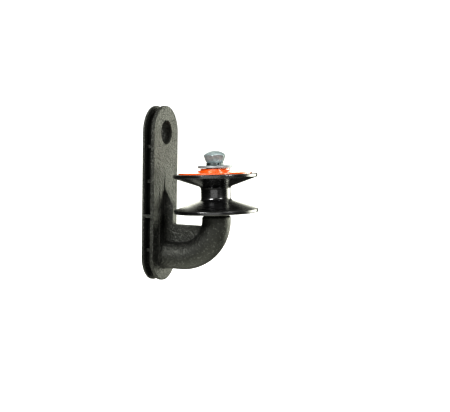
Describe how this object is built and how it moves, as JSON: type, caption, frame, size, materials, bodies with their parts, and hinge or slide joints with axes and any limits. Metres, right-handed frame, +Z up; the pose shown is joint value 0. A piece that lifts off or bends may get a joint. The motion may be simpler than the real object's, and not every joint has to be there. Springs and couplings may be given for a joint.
{
  "type": "fence insulator",
  "caption": "Corner insulator for electric fence rope: an oblong wall plate with a bent arm carries a hourglass reel that turns freely on a bolted sleeve.",
  "frame": {"origin": "middle of the plate's back face, where it lies on the post", "axes": "+X out of the post along the arm, +Z up along the plate's length, +Y across the plate; the part is symmetric about Y = 0"},
  "size_m": [0.0558, 0.042, 0.0894],
  "materials": {
    "bracket_plastic": "black glass-filled nylon with a spark-eroded grain",
    "insert_brass": "plain turned brass",
    "thrust_plastic": "black acetal",
    "sleeve_steel": "turned steel",
    "reel_plastic": "polished black plastic",
    "hub_plastic": "polished orange plastic",
    "washer_steel": "zinc plated",
    "spring_steel": "dark phosphated spring steel",
    "bolt_steel": "zinc plated and dulled by weather"
  },
  "bodies": {
    "bracket_assembly": {"bracket": "bracket_plastic", "threaded_insert": "insert_brass", "thrust_washer": "thrust_plastic", "axle_sleeve": "sleeve_steel", "top_washer": "washer_steel", "spring_washer": "spring_steel", "bolt": "bolt_steel"},
    "reel_assembly": {"reel": "reel_plastic", "reel_hub_disc": "hub_plastic"}
  },
  "joints": [
    {"name": "reel_spin", "type": "hinge", "parent": "bracket_assembly", "child": "reel_assembly", "pos_m": [0.03431, 0, 0.00138], "axis": [-0.0523, 0, 0.9986], "continuous": true}
  ]
}
